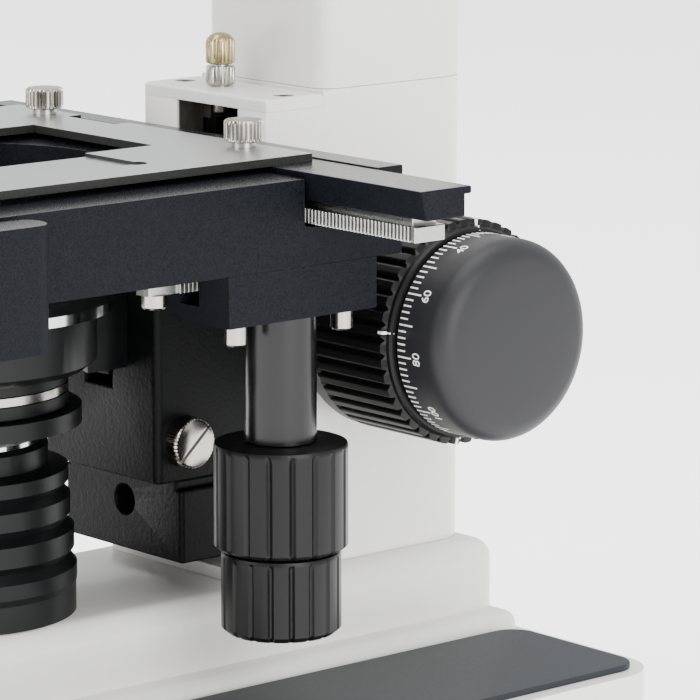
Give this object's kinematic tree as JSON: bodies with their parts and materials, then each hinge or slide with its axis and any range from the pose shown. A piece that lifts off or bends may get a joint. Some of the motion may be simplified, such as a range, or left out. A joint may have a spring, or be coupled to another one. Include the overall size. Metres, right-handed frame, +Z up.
{
  "type": "microscope",
  "caption": "Binocular laboratory microscope with a white arm and base, a black mechanical stage, a condenser, coaxial focus and stage knobs and a revolving nosepiece.",
  "frame": {"origin": "on the table under the middle of the overall box, in the microscope's plane of symmetry", "axes": "+Z up, +X to the user's right when facing the eyepieces from the front, -Y towards the user's side with the eyepieces"},
  "size_m": [0.222, 0.244, 0.3947],
  "materials": {
    "white_enamel": "gloss",
    "white_cast": "gloss",
    "charcoal_cast": "matte",
    "black_table": "satin",
    "black_enamel": "gloss",
    "satin_aluminium": "satin",
    "bright_steel": "polished",
    "bright_nickel": "polished",
    "black_plastic": "satin",
    "grey_plastic": "satin",
    "slate_mat": "matte",
    "foot_rubber": "matte",
    "optical_glass": "polished",
    "circuit_board": "matte"
  },
  "bodies": {
    "stand": {"base_shell": "white_enamel", "base_cover": "black_enamel", "rubber_feet": "foot_rubber", "deck_mats": "slate_mat", "collector_housing": "black_enamel", "collector_ring": "bright_nickel", "field_lens": "optical_glass", "led_board": "circuit_board", "dc_inlet": "black_plastic", "arm_lower": "white_cast", "arm_upper": "white_cast", "stop_plate": "white_cast", "stop_plate_screws": "bright_steel", "guide_rails": "bright_steel", "nosepiece_base": "black_enamel"},
    "stop_screw": {"stop_screw": "bright_nickel"},
    "dimmer": {"dimmer_dial": "black_plastic"},
    "switch": {"power_switch": "black_plastic"},
    "coarse": {"coarse_tube": "bright_steel", "coarse_knobs": "black_plastic"},
    "fine": {"fine_shaft": "bright_steel", "fine_knobs": "grey_plastic"},
    "carriage": {"focus_carriage": "charcoal_cast"},
    "support": {"stage_bracket": "charcoal_cast", "bracket_screw": "bright_nickel", "stage_lower_plate": "black_table", "y_rack": "bright_steel"},
    "stage": {"stage_table": "black_table", "front_guard": "black_table", "x_guide_bar": "black_table", "drive_housing": "charcoal_cast", "drive_screws": "bright_nickel", "drive_sleeve": "black_enamel"},
    "x_carriage": {"x_rail": "satin_aluminium", "x_rack": "bright_steel", "slide_holder": "satin_aluminium", "thumb_screws": "bright_nickel"},
    "x_drive": {"x_drive_knob": "black_plastic"},
    "y_drive": {"y_drive_knob": "black_plastic"},
    "clip": {"slide_clip": "bright_nickel"},
    "condenser": {"condenser_carrier": "black_enamel", "condenser_ring": "bright_nickel", "condenser_body": "black_enamel", "condenser_lens": "bright_nickel"},
    "condenser_drive": {"condenser_knob": "black_plastic"},
    "iris": {"iris_lever": "bright_nickel"},
    "filter": {"filter_holder": "black_enamel", "filter_glass": "optical_glass"},
    "turret": {"turret": "bright_nickel", "objective_low": "bright_nickel", "objective_mid": "bright_nickel", "objective_high": "bright_nickel", "objective_oil": "bright_nickel"},
    "head": {"head_body": "white_cast"},
    "head_clamp": {"head_clamp": "bright_nickel"},
    "eyetube_left": {"eyetube_left": "white_cast", "eyepiece_left": "black_plastic"},
    "eyetube_right": {"eyetube_right": "white_cast", "eyepiece_right": "black_plastic"},
    "dioptre": {"dioptre_ring": "black_plastic"}
  },
  "joints": [
    {"name": "stop_screw_turn", "type": "hinge", "parent": "stand", "child": "stop_screw", "pos_m": [-0.0053, 0.05695, 0.174], "axis": [0, 0, 1], "continuous": true},
    {"name": "dimmer_turn", "type": "hinge", "parent": "stand", "child": "dimmer", "pos_m": [-0.091, -0.03055, 0.018], "axis": [-1, 0, 0], "range_deg": [-270, 0]},
    {"name": "switch_rock", "type": "hinge", "parent": "stand", "child": "switch", "pos_m": [-0.088, 0.00945, 0.0185], "axis": [0, 0, 1], "range_deg": [-16, 0]},
    {"name": "coarse_slide", "type": "slide", "parent": "stand", "child": "carriage", "axis": [0, 0, 1], "range_m": [-0.0015, 0.026]},
    {"name": "coarse_turn", "type": "hinge", "parent": "stand", "child": "coarse", "pos_m": [0, 0.07744, 0.1183], "axis": [1, 0, 0], "range_deg": [-250, 15]},
    {"name": "fine_turn", "type": "hinge", "parent": "stand", "child": "fine", "pos_m": [0, 0.07744, 0.1183], "axis": [1, 0, 0], "range_deg": [-1801, 1801]},
    {"name": "fine_slide", "type": "slide", "parent": "carriage", "child": "support", "axis": [0, 0, 1], "range_m": [-0.001, 0.001]},
    {"name": "stage_y_slide", "type": "slide", "parent": "support", "child": "stage", "axis": [0, 1, 0], "range_m": [-0.024, 0]},
    {"name": "stage_x_slide", "type": "slide", "parent": "stage", "child": "x_carriage", "axis": [1, 0, 0], "range_m": [-0.037, 0.037]},
    {"name": "x_drive_turn", "type": "hinge", "parent": "stage", "child": "x_drive", "pos_m": [0.0624, 0.01974, 0.062], "axis": [0, 0, 1], "range_deg": [-592, 592]},
    {"name": "y_drive_turn", "type": "hinge", "parent": "stage", "child": "y_drive", "pos_m": [0.0624, 0.01974, 0.086], "axis": [0, 0, 1], "range_deg": [-385, 5]},
    {"name": "clip_swing", "type": "hinge", "parent": "x_carriage", "child": "clip", "pos_m": [-0.0515, -0.02255, 0.168], "axis": [0, 0, 1], "range_deg": [-30, 0], "stiffness_Nm_per_rad": 0.02},
    {"name": "condenser_slide", "type": "slide", "parent": "support", "child": "condenser", "axis": [0, 0, 1], "range_m": [0, 0.01]},
    {"name": "condenser_turn", "type": "hinge", "parent": "support", "child": "condenser_drive", "pos_m": [-0.038, 0.01964, 0.12], "axis": [1, 0, 0], "range_deg": [-137, 1]},
    {"name": "iris_swing", "type": "hinge", "parent": "condenser", "child": "iris", "pos_m": [0, -0.03026, 0.1097], "axis": [0, 0, 1], "range_deg": [-35, 35]},
    {"name": "filter_swing", "type": "hinge", "parent": "condenser", "child": "filter", "pos_m": [-0.019, -0.00426, 0.1027], "axis": [0, 0, 1], "range_deg": [-90, 0]},
    {"name": "turret_turn", "type": "hinge", "parent": "stand", "child": "turret", "pos_m": [0, -0.00826, 0.24572], "axis": [0, -0.2924, 0.9563], "continuous": true},
    {"name": "head_turn", "type": "hinge", "parent": "stand", "child": "head", "pos_m": [0, -0.03026, 0.297], "axis": [0, 0, 1], "continuous": true},
    {"name": "clamp_turn", "type": "hinge", "parent": "stand", "child": "head_clamp", "pos_m": [0, -0.06155, 0.286], "axis": [0, -1, 0], "range_deg": [0, 360]},
    {"name": "eyetube_swing", "type": "hinge", "parent": "head", "child": "eyetube_left", "pos_m": [0, -0.03026, 0.313], "axis": [0, -0.866, 0.5], "range_deg": [-20.7, 27.3]},
    {"name": "eyetube_follow", "type": "hinge", "parent": "head", "child": "eyetube_right", "pos_m": [0, -0.03026, 0.313], "axis": [0, -0.866, 0.5], "range_deg": [-27.3, 20.7]},
    {"name": "dioptre_turn", "type": "hinge", "parent": "eyetube_left", "child": "dioptre", "pos_m": [-0.03199, -0.022, 0.3273], "axis": [0, -0.866, 0.5], "range_deg": [-150, 150]}
  ],
  "couplings": [
    {"joint": "coarse_turn", "follows": "coarse_slide", "rad_per_m": -166.67},
    {"joint": "fine_turn", "follows": "fine_slide", "rad_per_m": -31416},
    {"joint": "x_drive_turn", "follows": "stage_x_slide", "rad_per_m": -277.78},
    {"joint": "y_drive_turn", "follows": "stage_y_slide", "rad_per_m": 277.78},
    {"joint": "condenser_turn", "follows": "condenser_slide", "rad_per_m": -238},
    {"joint": "eyetube_follow", "follows": "eyetube_swing", "ratio": -1}
  ]
}
